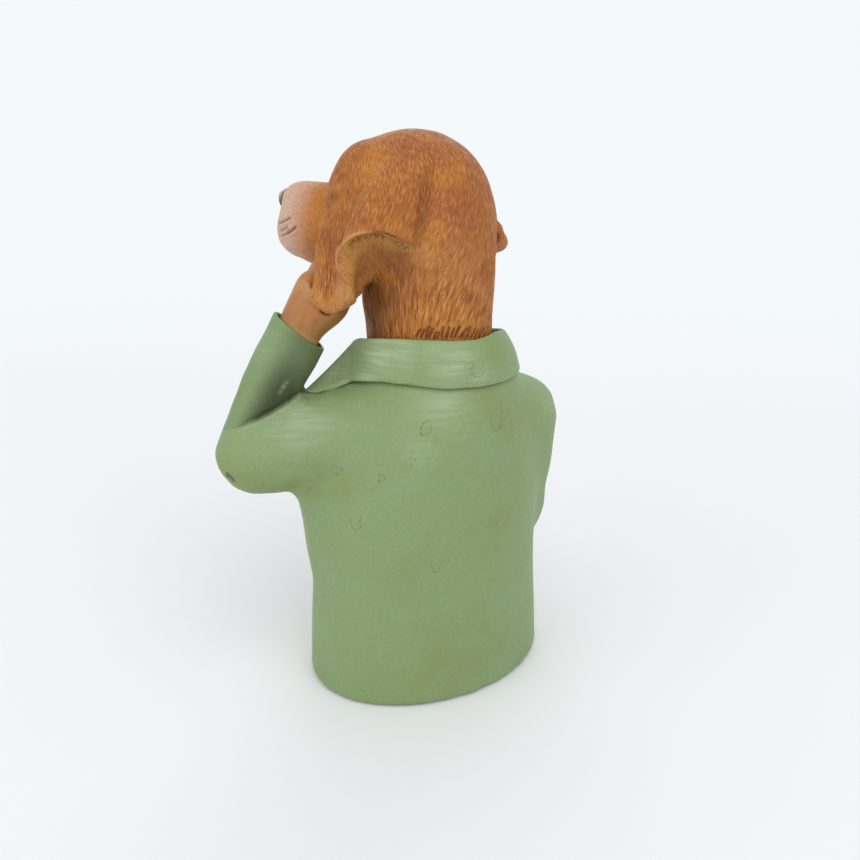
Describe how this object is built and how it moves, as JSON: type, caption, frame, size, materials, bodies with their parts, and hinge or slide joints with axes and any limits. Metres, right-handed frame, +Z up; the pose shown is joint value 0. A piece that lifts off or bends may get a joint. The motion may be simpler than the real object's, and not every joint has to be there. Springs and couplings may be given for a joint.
{
  "type": "dog figurine",
  "caption": "Rigid painted figurine of a dog's upper half in a buttoned jacket, head turned and one paw raised to its ear; stands on a felted oval base.",
  "frame": {"origin": "on the underside of the felt, under the middle of the jacket's hem", "axes": "+Z up, -Y to the front of the jacket, +X to the dog's left; the head is turned towards +X"},
  "size_m": [0.1613, 0.1187, 0.2399],
  "materials": {
    "jacket_paint": "satin",
    "fur_paint": "satin",
    "paw_paint": "satin",
    "nose_paint": "gloss",
    "eye_gloss": "gloss",
    "button_paint": "satin",
    "bare_resin": "matte",
    "felt": "matte",
    "pin_steel": "satin"
  },
  "bodies": {
    "root": {"jacket": "jacket_paint", "left_forearm_sleeve": "jacket_paint", "collar": "jacket_paint", "head": "fur_paint", "left_ear": "fur_paint", "right_ear": "fur_paint", "left_paw": "paw_paint", "right_paw": "paw_paint", "nose": "nose_paint", "left_eye": "eye_gloss", "right_eye": "eye_gloss", "top_button": "button_paint", "middle_button": "button_paint", "low_button": "button_paint", "base_plate": "bare_resin", "felt_pad": "felt", "neck_pin": "pin_steel", "elbow_pin": "pin_steel"}
  },
  "joints": []
}
